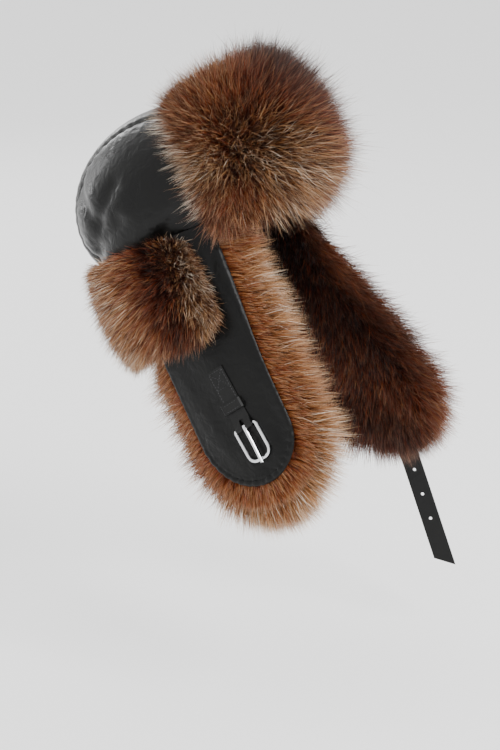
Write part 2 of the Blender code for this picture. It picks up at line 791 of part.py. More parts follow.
def tie_strap(parent, finish):
    stations, frames = strap_route()
    half, thick = STRAP_WIDTH / 2, STRAP_THICKNESS / 2
    strap = swept(
        stations,
        frames,
        lambda index: [(-half, -thick), (half, -thick), (half, thick), (-half, thick)],
        closed=False,
    )
    made = object_from("tie_strap", strap, finish, parent)
    tip, (wide, face) = stations[-1], frames[-1]
    down = (stations[-1] - stations[-2]).normalized()
    pace = (stations[-1] - stations[-2]).length
    far = 4 * STRAP_WIDTH
    corner = tip - wide * half
    slope = (down * -STRAP_SLANT + wide * STRAP_WIDTH).normalized()
    upper = [corner - slope * far, corner + slope * far]
    outline = upper + [point + down * far for point in reversed(upper)]
    cutter = extruded([point - face * far / 2 for point in outline], face * far)
    cut_with(made, "tip_cutter", cutter, parent)
    for hole in range(STRAP_HOLES):
        back = STRAP_HOLE_FROM_TIP + hole * STRAP_HOLE_PITCH
        index = len(stations) - 1 - back / pace
        low = int(index)
        place = stations[low].lerp(stations[low + 1], index - low)
        across = frames[low][1]
        turn = across.to_track_quat("Z", "Y").to_matrix().to_4x4()
        punch = cylinder(STRAP_HOLE / 2, far, 12, Matrix.Translation(place) @ turn)
        cut_with(made, f"hole_cutter_{hole + 1}", punch, parent)


def build():
    clear_scene()
    leather = material("black leather", BLACK, 0.38)
    matt_leather = material("black flap leather", BLACK, 0.55)
    brown = material("brown fur", BROWN_FUR, 0.9)
    tan = material("tan fur", TAN_FUR, 0.9)
    dark = material("dark fur", DARK_FUR, 0.9)
    chrome = material("chromed steel", CHROME, 0.12, 1.0)

    hat = empty("hat", None, Matrix.Rotation(-WEAR_TILT, 4, "X"))
    object_from("crown_side_right", crown_panel(None, (RIGHT, -GAP / 2)), leather, hat, 40)
    object_from("crown_centre_strip", crown_panel((RIGHT, GAP / 2), (LEFT, -GAP / 2)), leather, hat, 40)
    object_from("crown_side_left", crown_panel((LEFT, GAP / 2), None), leather, hat, 40)
    object_from("brim_fur", brim_fur(1), brown, hat)
    object_from("ear_flap_right_leather", ear_flap_leather(RIGHT), matt_leather, hat, 40)
    object_from("ear_flap_left_leather", ear_flap_leather(LEFT), matt_leather, hat, 40)
    right_fur = ear_flap_fur(RIGHT, FLAP_FUR_BODY_RIGHT, FLAP_FUR_LOCK_RIGHT, FLAP_FUR_RIM_LOCK_RIGHT, 2)
    object_from("ear_flap_right_fur", right_fur, tan, hat)
    left_fur = ear_flap_fur(LEFT, FLAP_FUR_BODY_LEFT, FLAP_FUR_LOCK_LEFT, FLAP_FUR_RIM_LOCK_LEFT, 3)
    object_from("ear_flap_left_fur", left_fur, dark, hat)
    object_from("nape_leather", nape_leather(), matt_leather, hat, 40)
    object_from("nape_fur", nape_fur(4), brown, hat)

    buckle = empty("buckle", hat, buckle_place())
    buckle_chape(buckle, leather)
    buckle_keeper(buckle, leather)
    buckle_frame(buckle, chrome)
    buckle_prong(buckle, chrome)
    tie_strap(hat, leather)


build()
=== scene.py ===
"""Looks of the aviator hat: black leather, long fur, a chromed buckle and its strap.

Metres. The hat's own frame has its origin in the middle of the rim, with +X to the wearer's left
and -Y to the front. in_row tips that frame back into the row frame, as the hat is worn.
"""

import math

import bpy
import numpy as np
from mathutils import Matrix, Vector
from mathutils.kdtree import KDTree


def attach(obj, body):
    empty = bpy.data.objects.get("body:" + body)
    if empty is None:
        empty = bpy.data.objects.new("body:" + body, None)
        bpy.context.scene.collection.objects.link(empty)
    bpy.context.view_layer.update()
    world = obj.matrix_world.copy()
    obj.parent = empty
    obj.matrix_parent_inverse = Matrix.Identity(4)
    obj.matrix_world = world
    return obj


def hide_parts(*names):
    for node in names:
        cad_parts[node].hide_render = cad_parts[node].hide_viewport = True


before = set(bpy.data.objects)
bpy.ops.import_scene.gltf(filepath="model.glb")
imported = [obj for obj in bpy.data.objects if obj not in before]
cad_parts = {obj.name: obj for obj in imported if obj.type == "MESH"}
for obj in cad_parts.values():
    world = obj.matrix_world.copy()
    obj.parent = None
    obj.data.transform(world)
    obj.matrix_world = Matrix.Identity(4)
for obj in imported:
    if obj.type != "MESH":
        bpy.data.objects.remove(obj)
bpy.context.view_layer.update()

# Camera, floor and light
# The hat hangs over a plain pale floor as if a head held it, seen from the front right and
# slightly above, in the even white light of a catalogue photograph.
CAMERA_TURN = math.radians(58)
CAMERA_RISE = math.radians(12)
CAMERA_DISTANCE = 1.8
CAMERA_LENS = 95.0
CAMERA_AIM = Vector((0.003, -0.057, -0.129))
FLOOR_DROP = 0.42


def linear(code):
    """An sRGB hex colour as the linear colour that a shader takes."""
    parts = [int(code[place : place + 2], 16) / 255 for place in (0, 2, 4)]
    return [*(part / 12.92 if part <= 0.04045 else ((part + 0.055) / 1.055) ** 2.4 for part in parts), 1.0]


def add_node(tree, kind, inputs=None, stops=None, **settings):
    """A shader node with its settings. An input is a value or the socket that it is linked to."""
    made = tree.nodes.new("ShaderNode" + kind)
    for key, value in settings.items():
        setattr(made, key, value)
    for key, value in (inputs or {}).items():
        if isinstance(value, bpy.types.NodeSocket):
            tree.links.new(value, made.inputs[key])
        else:
            made.inputs[key].default_value = value
    if stops:
        while len(made.color_ramp.elements) < len(stops):
            made.color_ramp.elements.new(1.0)
        for element, (place, colour) in zip(made.color_ramp.elements, stops):
            element.position = place
            element.color = colour
    return made


def new_finish(name, **sockets):
    """A material with its node tree and its Principled shader."""
    made = bpy.data.materials.new(name)
    made.use_nodes = True
    shader = made.node_tree.nodes["Principled BSDF"]
    for key, value in sockets.items():
        shader.inputs[key.replace("_", " ").title().replace("Ior", "IOR")].default_value = value
    return made, made.node_tree, shader


def soft_light(name, place, aim, size, power, colour="ffffff"):
    data = bpy.data.lights.new(name, "AREA")
    data.shape = "RECTANGLE"
    data.size, data.size_y = size
    data.energy = power
    data.color = linear(colour)[:3]
    light = bpy.data.objects.new(name, data)
    bpy.context.collection.objects.link(light)
    light.location = place
    light.rotation_mode = "QUATERNION"
    light.rotation_quaternion = (Vector(aim) - Vector(place)).to_track_quat("-Z", "Y")


camera = bpy.data.objects.new("camera", bpy.data.cameras.new("camera"))
bpy.context.collection.objects.link(camera)
camera.data.lens = CAMERA_LENS
camera.data.clip_end = 50
camera.location = CAMERA_DISTANCE * Vector((
    -math.sin(CAMERA_TURN) * math.cos(CAMERA_RISE),
    -math.cos(CAMERA_TURN) * math.cos(CAMERA_RISE),
    math.sin(CAMERA_RISE),
))
camera.rotation_mode = "QUATERNION"
camera.rotation_quaternion = (CAMERA_AIM - camera.location).to_track_quat("-Z", "Y")
bpy.context.scene.camera = camera

bpy.ops.mesh.primitive_plane_add(size=30, location=(0, 0, -FLOOR_DROP))
floor = bpy.context.active_object
floor.name = "floor"
paper, _, _ = new_finish("matt white paper", base_color=linear("f4f4f4"), roughness=0.9)
floor.data.materials.append(paper)

world = bpy.data.worlds.new("studio")
bpy.context.scene.world = world
world.use_nodes = True
world.node_tree.nodes["Background"].inputs["Color"].default_value = linear("ffffff")
world.node_tree.nodes["Background"].inputs["Strength"].default_value = 1.7
soft_light("key", (-0.9, -2.5, 2.2), (0, 0, -0.05), (1.4, 1.4), 110)
soft_light("side", (0.3, 2.8, 0.5), (0, 0, 0), (0.25, 1.4), 11)
soft_light("back", (1.6, 2.2, 1.0), (0, 0, 0), (0.3, 1.2), 12)
soft_light("front", (1.2, -2.6, 0.6), (0, 0, -0.1), (1.2, 1.8), 55)

# Crown
# Three panels of black nappa leather over a soft interlining, closed by two seams that run
# from front to back. The wall gives way in soft folds, and it puckers along each seam.
WEAR_TILT = math.radians(25)
CROWN_HALF_WIDTH = 0.090
CROWN_HALF_LENGTH = 0.103
CROWN_HEIGHT = 0.115
CROWN_WIDEST = 0.030
CROWN_TUCK = 0.080
CROWN_WALL = 0.003
STRIP_FRONT_HALF = 0.018
STRIP_BACK_HALF = 0.062
SEAM_GAP = 0.0004
SEAM_GROOVE = 0.0022
SEAM_REACH = 0.0035
PUCKER_PITCH = 0.0115
PUCKER_DEPTH = 0.0011

# Turns are shares of a full turn from the front to the wearer's right, heights are shares of
# the crown's height, width and depth are shares of the crown's wall.
CROWN_FOLDS = (
    dict(turn_a=0.40, height_a=0.02, turn_b=0.27, height_b=0.24, width=2.6, depth=1.1),
    dict(turn_a=0.35, height_a=0.12, turn_b=0.26, height_b=0.52, width=2.4, depth=0.8),
    dict(turn_a=0.31, height_a=0.30, turn_b=0.36, height_b=0.62, width=2.8, depth=0.9),
    dict(turn_a=0.22, height_a=0.02, turn_b=0.15, height_b=0.20, width=2.4, depth=0.7),
    dict(turn_a=0.66, height_a=0.06, turn_b=0.74, height_b=0.34, width=2.8, depth=1.0),
    dict(turn_a=0.56, height_a=0.04, turn_b=0.47, height_b=0.22, width=2.6, depth=0.9),
)


def in_row(points):
    """Points of the hat's own frame, tipped back into the row frame."""
    x, y, z = points[..., 0], points[..., 1], points[..., 2]
    cosine, sine = math.cos(WEAR_TILT), math.sin(WEAR_TILT)
    return np.stack([x, y * cosine + z * sine, z * cosine - y * sine], -1)


def smooth_share(value):
    share = np.clip(value, 0.0, 1.0)
    return share * share * (3 - 2 * share)


def mix(a, b, share):
    return a + (b - a) * share


def crown_level(height):
    """Half width and half length of the crown at a height over the rim."""
    reach = np.where(height > CROWN_WIDEST, CROWN_HEIGHT - CROWN_WIDEST, CROWN_TUCK)
    width = np.sqrt(np.clip(1 - ((height - CROWN_WIDEST) / reach) ** 2, 0, 1))
    return CROWN_HALF_WIDTH * width, CROWN_HALF_LENGTH * width


def fold_depth(points):
    """How far the folds press the crown in at points of its outer form."""
    turn = np.arctan2(-points[:, 0] / CROWN_HALF_WIDTH, -points[:, 1] / CROWN_HALF_LENGTH) / math.tau % 1
    place = np.stack([turn * math.tau * CROWN_HALF_WIDTH, points[:, 2]], -1)
    total = np.zeros(len(points))
    for fold in CROWN_FOLDS:
        start, end = (
            np.array((fold["turn_" + which] * math.tau * CROWN_HALF_WIDTH, fold["height_" + which] * CROWN_HEIGHT))
            for which in "ab"
        )
        run = end - start
        share = np.clip((place - start) @ run / (run @ run), 0, 1)
        away = np.linalg.norm(place - start - share[:, None] * run, axis=1) / (fold["width"] * CROWN_WALL)
        total += fold["depth"] * CROWN_WALL * np.exp(-away * away)
    return total


def seam_half_width(y):
    """Half the centre strip's width, which grows evenly from the crown's front to its back."""
    return mix(STRIP_FRONT_HALF, STRIP_BACK_HALF, (y + CROWN_HALF_LENGTH) / (2 * CROWN_HALF_LENGTH))


def seam_press(points):
    """How far the two seams pull the leather in: a narrow groove, and puckers that fade beside it."""
    total = np.zeros(len(points))
    along = np.arctan2(points[:, 1] / CROWN_HALF_LENGTH, points[:, 2] / CROWN_HEIGHT) * CROWN_HALF_LENGTH
    for side in (-1, 1):
        past_seam = points[:, 0] * side - seam_half_width(points[:, 1])
        away = np.abs(past_seam)
        outward = np.sign(past_seam)
        total += SEAM_GROOVE * np.exp(-((away / SEAM_REACH) ** 2))
        wave = np.sin(along / PUCKER_PITCH * math.tau + 1.3 * np.sin(along * 61) + outward * 1.1 + side)
        total += PUCKER_DEPTH * (0.5 + 0.5 * wave) * np.exp(-away / (3.2 * SEAM_REACH))
    return total


def get_points(obj):
    points = np.empty(len(obj.data.vertices) * 3)
    obj.data.vertices.foreach_get("co", points)
    return points.reshape(-1, 3)


def set_points(obj, points):
    obj.data.vertices.foreach_set("co", np.ascontiguousarray(points, dtype=np.float32).ravel())
    obj.data.update()


def start_piece(name):
    """The primitive just added, named after its piece, with its turn taken into its mesh."""
    made = bpy.context.active_object
    made.name = made.data.name = name
    bpy.ops.object.transform_apply(location=True, rotation=True, scale=True)
    return made


def apply_modifier(obj, kind, **settings):
    made = obj.modifiers.new(kind.lower(), kind)
    for key, value in settings.items():
        setattr(made, key, value)
    bpy.context.view_layer.objects.active = obj
    bpy.ops.object.modifier_apply(modifier=made.name)


def crown_panel(name, cuts, finish):
    """A panel of the crown, cut from a sphere with its poles at the ears and drawn out to size."""
    bpy.ops.object.select_all(action="DESELECT")
    bpy.ops.mesh.primitive_uv_sphere_add(segments=190, ring_count=96, radius=1, rotation=(0, math.pi / 2, 0))
    made = start_piece(name)
    bpy.ops.object.mode_set(mode="EDIT")
    rim = (0, 0, -(CROWN_WIDEST + SEAM_GAP) / CROWN_TUCK)
    for place, normal in [(rim, (0, 0, -1)), *cuts]:
        bpy.ops.mesh.select_all(action="SELECT")
        bpy.ops.mesh.bisect(plane_co=place, plane_no=normal, clear_outer=True)
    bpy.ops.object.mode_set(mode="OBJECT")
    unit = get_points(made)
    up = np.where(unit[:, 2] > 0, CROWN_HEIGHT - CROWN_WIDEST, CROWN_TUCK)
    size = np.stack([np.full(len(unit), CROWN_HALF_WIDTH), np.full(len(unit), CROWN_HALF_LENGTH), up], -1)
    outer = unit * size + (0, 0, CROWN_WIDEST)
    inward = fold_depth(outer) + seam_press(outer)
    set_points(made, in_row(unit * (size - inward[:, None]) + (0, 0, CROWN_WIDEST)))
    apply_modifier(made, "SOLIDIFY", thickness=CROWN_WALL, offset=-1)
    made.data.shade_smooth()
    made.data.set_sharp_from_angle(angle=math.radians(50))
    made.data.materials.append(finish)
    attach(made, "hat")
    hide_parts(name)
    return made


# Nappa: a smooth pigmented skin with a soft gloss, fine pores and shallow creases that break
# the highlights. The pores are drawn about twice their real 0.4 mm spacing so that they show.
PORE_SPACING = 0.0009
CREASE_SPACING = 0.011


def leather_finish(name, colour, gloss_roughness, crease, gloss):
    made, tree, shader = new_finish(
        name, roughness=gloss_roughness, ior=1.48, specular_ior_level=gloss
    )
    where = add_node(tree, "TexCoord").outputs["Object"]
    blotch = add_node(tree, "TexNoise", dict(Vector=where, Scale=1 / 0.045, Detail=3.0))
    tint = add_node(
        tree, "ValToRGB", dict(Fac=blotch.outputs["Fac"]),
        stops=[(0.3, linear(colour)), (0.75, linear("080807"))],
    )
    tree.links.new(tint.outputs["Color"], shader.inputs["Base Color"])
    rough = add_node(
        tree, "MapRange",
        {"Value": blotch.outputs["Fac"], "From Min": 0.3, "From Max": 0.7,
         "To Min": gloss_roughness - 0.06, "To Max": gloss_roughness + 0.08},
    )
    tree.links.new(rough.outputs["Result"], shader.inputs["Roughness"])
    pores = add_node(tree, "TexVoronoi", dict(Vector=where, Scale=1 / PORE_SPACING))
    folds = add_node(tree, "TexNoise", dict(Vector=where, Scale=1 / CREASE_SPACING, Detail=4.0, Distortion=0.6))
    grain = add_node(tree, "Bump", dict(Height=pores.outputs["Distance"], Strength=0.10, Distance=0.0002))
    soft = add_node(
        tree, "Bump",
        dict(Height=folds.outputs["Fac"], Strength=crease, Distance=0.0022, Normal=grain.outputs["Normal"]),
    )
    tree.links.new(soft.outputs["Normal"], shader.inputs["Normal"])
    return made


nappa = leather_finish("black nappa leather, glazed", "030303", 0.28, 0.50, 0.20)


def seam_cut(side, stand, keep_middle):
    """A seam's plane on the unit sphere; stand is how far outward of the seam's middle it lies."""
    middle = (seam_half_width(0.0) + stand) / CROWN_HALF_WIDTH
    slant = (STRIP_BACK_HALF - STRIP_FRONT_HALF) / 2 / CROWN_HALF_WIDTH
    toward = side if keep_middle else -side
    return (side * middle, 0, 0), (toward, -toward * side * slant, 0)


crown_panel("crown_side_right", [seam_cut(-1, SEAM_GAP / 2, False)], nappa)
crown_panel("crown_side_left", [seam_cut(1, SEAM_GAP / 2, False)], nappa)
crown_panel("crown_centre_strip", [seam_cut(side, -SEAM_GAP / 2, True) for side in (-1, 1)], nappa)

# Front flap
# Long-haired pelt on a turned-up leather flap. The hair stands out all round like a sun: dark
# grizzled underfur with pale tips in the middle, rust at the right end and near black at the top.
BRIM_HEIGHT = 0.101
BRIM_HALF_TURN = math.radians(45)
BRIM_BODY = 0.030
BRIM_HAIR = 0.047
BRIM_HEART = (-0.018, -0.087, 0.048)
SOFT_SEAT = 0.0008
PELT = 0.004

# Share of the guard hairs that are dark to their tips
DARK_SHARE = 0.38

# Tones of hair, dark to pale, as places along one ramp of colour.
BLACK_BROWN, UMBER, RUST, TAN, SAND, SILVER = 0.05, 0.22, 0.42, 0.60, 0.78, 0.95


def bulge(row, column, sharpness=4):
    """1 over the middle of a pelt, falling to 0 along its edge."""
    return (1 - np.abs(2 * row - 1) ** sharpness) * (1 - np.abs(2 * column - 1) ** sharpness)


def unit(vectors):
    return vectors / np.maximum(np.linalg.norm(vectors, axis=-1, keepdims=True), 1e-9)


def patch_tone(patches, row, column, which):
    """The tone that nearby patches of colour give a place on a pelt."""
    total = np.zeros(np.shape(row))
    weight = np.full(np.shape(row), 1e-6)
    for patch in patches:
        away = ((row - patch["row"]) ** 2 + (column - patch["column"]) ** 2) / patch["reach"] ** 2
        near = np.exp(-away)
        total += near * patch[which]
        weight += near
    return total / weight


def ribbons(draw, roots, rise, fall, length, tone, width, rings, clump, clump_size):
    """Tapering hairs: each leaves its root along rise, bends towards fall and ends in a point.

    Hairs lean together into locks, as pelt hair does. Gives vertices, faces and face-corner UVs."""
    count = len(roots)
    share = np.linspace(0, 1, rings + 1)
    bend = rise[:, None] * share[None, :, None] + (fall - rise)[:, None] * (share**2 / 2)[None, :, None]
    line = roots[:, None] + length[:, None, None] * bend
    guides = draw.choice(count, max(count // clump_size, 1), replace=False)
    tree = KDTree(len(guides))
    for index, guide in enumerate(guides):
        tree.insert(roots[guide], index)
    tree.balance()
    nearest = guides[[tree.find(root)[1] for root in roots]]
    pull = clump * share**1.5
    line += (line[nearest] - line) * pull[None, :, None]
    tone = tone + 0.5 * (draw.normal(0, 0.07, count))[nearest] + draw.normal(0, 0.05, count)
    along = np.gradient(line, axis=1)
    across = unit(np.cross(along, unit(draw.normal(size=(count, 1, 3)))))
    half = width[:, None] / 2 * (1 - 0.75 * share[:-1])[None, :]
    left = line[:, :-1] - across[:, :-1] * half[..., None]
    right = line[:, :-1] + across[:, :-1] * half[..., None]
    pairs = np.stack([left, right], 2).reshape(count, -1, 3)
    points = np.concatenate([pairs, line[:, -1:]], 1)
    size = 2 * rings + 1
    first = (np.arange(count) * size)[:, None]
    tone = np.clip(tone, 0.01, 0.985)
    faces, corners = [], []
    for ring in range(rings - 1):
        faces.append(first + np.array([2 * ring, 2 * ring + 1, 2 * ring + 3, 2 * ring + 2]))
        low, high = share[ring], share[ring + 1]
        u = tone[:, None] + np.array([-0.004, 0.004, 0.004, -0.004])
        corners.append(np.stack([u, np.broadcast_to([low, low, high, high], u.shape)], -1))
    tips = first + np.array([size - 3, size - 2, size - 1])
    u = tone[:, None] + np.array([-0.004, 0.004, 0.0])
    tip_corners = np.stack([u, np.broadcast_to([share[-2], share[-2], 1.0], u.shape)], -1)
    return points.reshape(-1, 3), faces, corners, tips, tip_corners


def pelt_sheet(front, back, tone):
    """A closed body between two grids of points, for the dense fur under the hairs."""
    rows, columns = front.shape[:2]
    index = np.arange(rows * columns).reshape(rows, columns)
    near = np.stack([index[:-1, :-1], index[:-1, 1:], index[1:, 1:], index[1:, :-1]], -1).reshape(-1, 4)
    far = near[:, ::-1] + rows * columns
    ring = np.concatenate([index[0, :-1], index[:-1, -1], index[-1, :0:-1], index[:0:-1, 0]])
    follow = np.roll(ring, -1)
    rim = np.stack([ring, ring + rows * columns, follow + rows * columns, follow], -1)
    points = np.concatenate([front.reshape(-1, 3), back.reshape(-1, 3)])
    faces = np.concatenate([near, far, rim])
    u = np.concatenate([tone.ravel(), tone.ravel()])[faces] + np.array([-0.003, 0.003, 0.003, -0.003])
    # V at the root end of the hair's shade ramp makes the pelt dark. This is painted shade deep in the fur, over the
    # dense underfur that the pelt stands for.
    v = np.broadcast_to([0.10, 0.10, 0.16, 0.16], u.shape)
    return points, faces, np.stack([np.clip(u, 0, 1), v], -1)


def fur_object(name, parts, sheet, finish):
    """One mesh from ribbons and, where it has one, its pelt."""
    points, quads, quad_corners, tris, tri_corners = [], [], [], [], []
    start = 0
    if sheet:
        points.append(sheet[0])
        quads.append(sheet[1])
        quad_corners.append(sheet[2])
        start = len(sheet[0])
    smooth = sum(map(len, quads))
    for co, faces, corners, tips, tip_corners in parts:
        points.append(co)
        quads += [face + start for face in faces]
        quad_corners += corners
        tris.append(tips + start)
        tri_corners.append(tip_corners)
        start += len(co)
    quads, tris = np.concatenate(quads), np.concatenate(tris)
    mesh = bpy.data.meshes.new(name)
    mesh.vertices.add(start)
    mesh.vertices.foreach_set("co", in_row(np.concatenate(points)).astype(np.float32).ravel())
    mesh.loops.add(quads.size + tris.size)
    mesh.loops.foreach_set("vertex_index", np.concatenate([quads.ravel(), tris.ravel()]).astype(np.int32))
    mesh.polygons.add(len(quads) + len(tris))
    starts = np.concatenate([np.arange(len(quads)) * 4, quads.size + np.arange(len(tris)) * 3])
    mesh.polygons.foreach_set("loop_start", starts.astype(np.int32))
    mesh.polygons.foreach_set("use_smooth", np.arange(len(starts)) < smooth)
    uv = mesh.uv_layers.new(name="OFBake")
    corners = np.concatenate([c.reshape(-1, 2) for c in quad_corners + tri_corners])
    uv.data.foreach_set("uv", corners.astype(np.float32).ravel())
    mesh.update(calc_edges=True)
    made = bpy.data.objects.new(name, mesh)
    bpy.context.collection.objects.link(made)
    mesh.materials.append(finish)
    return made


# Raccoon hair: dense matt underfur with glossy guard hairs over it. U of the hair's own UV map
# is its tone and V runs from root to tip. The roots are darkened, partly by the underfur's own
# darker colour and partly by painted shade of the fur's depth, and the tips are pale.
def hair_finish(name, tip_light, roughness):
    made, tree, shader = new_finish(
        name, roughness=roughness, ior=1.45, specular_ior_level=0.3
    )
    uv = add_node(tree, "UVMap", uv_map="OFBake")
    parts = add_node(tree, "SeparateXYZ", dict(Vector=uv.outputs["UV"]))
    tone = add_node(
        tree, "ValToRGB", dict(Fac=parts.outputs["X"]),
        stops=[
            (0.0, linear("120605")), (BLACK_BROWN, linear("1a0805")), (UMBER, linear("3c160a")),
            (RUST, linear("7a3010")), (TAN, linear("8f5a2c")), (SAND, linear("b4885a")),
            (SILVER, linear("e6dccb")),
        ],
    )
    # Painted shade: the colour is multiplied down towards the root, to about a sixth at the root. This stands for
    # the fur's depth as well as the underfur's own darker base.
    shade = add_node(
        tree, "ValToRGB", dict(Fac=parts.outputs["Y"]),
        stops=[(0.0, (0.16, 0.10, 0.08, 1)), (0.35, (0.60, 0.48, 0.42, 1)), (0.75, (1, 1, 1, 1))],
    )
    body = add_node(
        tree, "Mix", data_type="RGBA", blend_type="MULTIPLY",
    )
    body.inputs[0].default_value = 1.0
    tree.links.new(tone.outputs["Color"], body.inputs[6])
    tree.links.new(shade.outputs["Color"], body.inputs[7])
    tip_reach = add_node(
        tree, "MapRange",
        {"Value": parts.outputs["X"], "From Min": BLACK_BROWN, "From Max": TAN, "To Min": 0.0, "To Max": tip_light},
    )
    tip_share = add_node(
        tree, "MapRange",
        {"Value": parts.outputs["Y"], "From Min": 0.62, "From Max": 1.0, "To Min": 0.0,
         "To Max": tip_reach.outputs["Result"]},
    )
    ends = add_node(tree, "Mix", data_type="RGBA", blend_type="MIX")
    tree.links.new(tip_share.outputs["Result"], ends.inputs[0])
    tree.links.new(body.outputs[2], ends.inputs[6])
    ends.inputs[7].default_value = linear("d9c3a6")
    tree.links.new(ends.outputs[2], shader.inputs["Base Color"])
    return made


under_hair = hair_finish("dense underfur, brushed", 0.12, 0.62)
guard_hair = hair_finish("raccoon guard hair, brushed", 0.42, 0.45)


def brim_place(row, column, out):
    """Points on the turned-up flap: it hugs the crown to its widest level, then stands straight."""
    along = 2 * column - 1
    low = 3 * SEAM_GAP
    top = BRIM_HEIGHT * (1 - 0.06 * np.abs(along) ** 5)
    height = mix(low, top, row)
    wide, long = crown_level(np.minimum(height, CROWN_WIDEST))
    back_off = np.maximum(height - CROWN_WIDEST, 0) * 0.06
    turn = along * BRIM_HALF_TURN
    return np.stack([
        (wide + SOFT_SEAT - back_off + out) * np.sin(turn),
        -(long + SOFT_SEAT - back_off + out) * np.cos(turn),
        height,
    ], -1)


def brim_face(row, column):
    return 2 * PELT + BRIM_BODY * bulge(row, column)


# Places are shares of the pelt: column from the wearer's right to left, row from the rim up.
BRIM_PATCHES = (
    dict(column=0.00, row=0.50, reach=0.07, under=RUST, guard=SILVER),
    dict(column=0.07, row=0.15, reach=0.14, under=RUST, guard=RUST),
    dict(column=0.10, row=0.55, reach=0.12, under=RUST, guard=0.50),
    dict(column=0.06, row=0.95, reach=0.14, under=RUST, guard=0.52),
    dict(column=0.24, row=0.42, reach=0.18, under=BLACK_BROWN, guard=SAND),
    dict(column=0.26, row=0.95, reach=0.16, under=RUST, guard=TAN),
    dict(column=0.42, row=0.60, reach=0.18, under=UMBER, guard=RUST),
    dict(column=0.45, row=0.10, reach=0.22, under=UMBER, guard=SAND),
    dict(column=0.56, row=0.95, reach=0.22, under=BLACK_BROWN, guard=BLACK_BROWN),
    dict(column=0.80, row=0.88, reach=0.34, under=BLACK_BROWN, guard=BLACK_BROWN),
    dict(column=0.72, row=0.55, reach=0.18, under=BLACK_BROWN, guard=0.34),
    dict(column=0.80, row=0.35, reach=0.20, under=BLACK_BROWN, guard=UMBER),
    dict(column=0.80, row=0.08, reach=0.22, under=UMBER, guard=RUST),
    dict(column=1.00, row=0.40, reach=0.24, under=BLACK_BROWN, guard=UMBER),
)


def brindle(row, column, depth):
    """Lighter and darker smudges across a pelt, about three or four fingers wide."""
    across = np.sin(23 * row + 3 * np.sin(17 * column))
    along = np.sin(29 * column + 2 * np.sin(13 * row))
    return depth * across * along


def brim_wisps(draw, count):
    """Thin silvery hairs that lie back from the flap's right end over the crown's leather."""
    row = draw.uniform(0.10, 0.98, count)
    column = 0.05 * draw.random(count)
    roots = brim_place(row, column, brim_face(row, column) * draw.uniform(0.3, 0.9, count))
    back = np.array([-math.cos(BRIM_HALF_TURN), math.sin(BRIM_HALF_TURN), 0])
    way = unit(0.8 * unit(roots - np.array(BRIM_HEART)) + back + draw.normal(0, 0.16, (count, 3)))
    fall = unit(way + draw.normal(0, 0.22, (count, 3)))
    length = BRIM_HAIR * draw.uniform(0.45, 1.0, count)
    tone = np.where(draw.random(count) < 0.55, SILVER, UMBER)
    return ribbons(draw, roots, way, fall, length, tone, np.full(count, 0.0004), 2, 0.6, 4)


def brim_hairs(draw, count, length, spread, width, rings, clump, clump_size, which):
    """Hairs that stand out from a heart inside the head, over the flap's face and round its edge."""
    edge = draw.random(count) < 0.45
    row, column = draw.random(count), draw.random(count)
    side = draw.integers(0, 3, count)
    deep = draw.random(count) ** 2 * 0.10
    row = np.where(edge & (side == 0), 1 - deep, row)
    column = np.where(edge & (side == 1), deep, np.where(edge & (side == 2), 1 - deep, column))
    out = brim_face(row, column) * mix(0.25, 0.95, draw.random(count) ** 0.4)
    roots = brim_place(row, column, out)
    way = unit(roots - np.array(BRIM_HEART))
    along = 2 * column - 1
    backward = np.stack([np.cos(along * BRIM_HALF_TURN), np.sin(along * BRIM_HALF_TURN), 0 * along], -1)
    backward *= (np.where(along > 0, 1.3, 0.0) * np.clip(np.abs(along) * 5 - 4, 0, 1))[:, None]
    hang = mix(0.10, 0.95, smooth_share((column - 0.75) / 0.2)) * np.clip(1 - 3 * row, 0, 1)
    low = hang[:, None] * np.array([0, 0, -1.0])
    way = unit(way + backward + low)
    rise = unit(way + draw.normal(0, spread, (count, 3)))
    fall = unit(way + draw.normal(0, spread * 1.3, (count, 3)) + np.array([0, 0, -0.10]))
    full = draw.uniform(0.55, 1.05, count) * mix(0.80, 1.36, column)
    full *= np.where(draw.random(count) < 0.03, 1.3, 1.0)
    tone = patch_tone(BRIM_PATCHES, row, column, which)
    if which == "guard":
        tone = tone + brindle(row, column, 0.11) + draw.normal(0, 0.09, count)
        tone = np.where(draw.random(count) < DARK_SHARE, 0.6 * UMBER, tone)
    return ribbons(
        draw, roots, rise, fall, length * full, tone, width * draw.uniform(0.7, 1.2, count),
        rings, clump, clump_size,
    )


rows, columns = np.meshgrid(np.linspace(0, 1, 44), np.linspace(0, 1, 88), indexing="ij")
brim_pelt = pelt_sheet(
    brim_place(rows, columns, brim_face(rows, columns) * 0.92),
    brim_place(rows, columns, 0 * rows),
    patch_tone(BRIM_PATCHES, rows, columns, "under"),
)
draw = np.random.default_rng(11)
under = brim_hairs(draw, 52000, BRIM_HAIR * 0.72, 0.18, 0.0006, 2, 0.5, 14, "under")
brim = fur_object("brim_fur", [under], brim_pelt, under_hair)
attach(brim, "hat")
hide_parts("brim_fur")
guard = brim_hairs(draw, 50000, BRIM_HAIR, 0.34, 0.00055, 2, 0.25, 6, "guard")
brim_guard = fur_object("brim_guard_hair", [guard, brim_wisps(draw, 900)], None, guard_hair)
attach(brim_guard, "hat")

# Ear flap leather
# Long tongues of black leather over the pelt, their edge turned in and stitched down. They start
# with the curve of the rim and hang nearly flat, the left one swung out to the side.
FLAP_LENGTH = 0.228
FLAP_HALF_WIDTH = 0.0475
FLAP_CENTRE = -0.013
FLAP_LEAN = math.tan(math.radians(5.7))
FLAP_FLARE = {-1: math.tan(math.radians(2.9)), 1: math.tan(math.radians(18.8))}
FLAP_SETTLE = 0.150
FLAP_BOW = 0.006
LEATHER = 0.002
RIM_HALF_WIDTH, RIM_HALF_LENGTH = (float(size) for size in crown_level(np.array(0.0)))


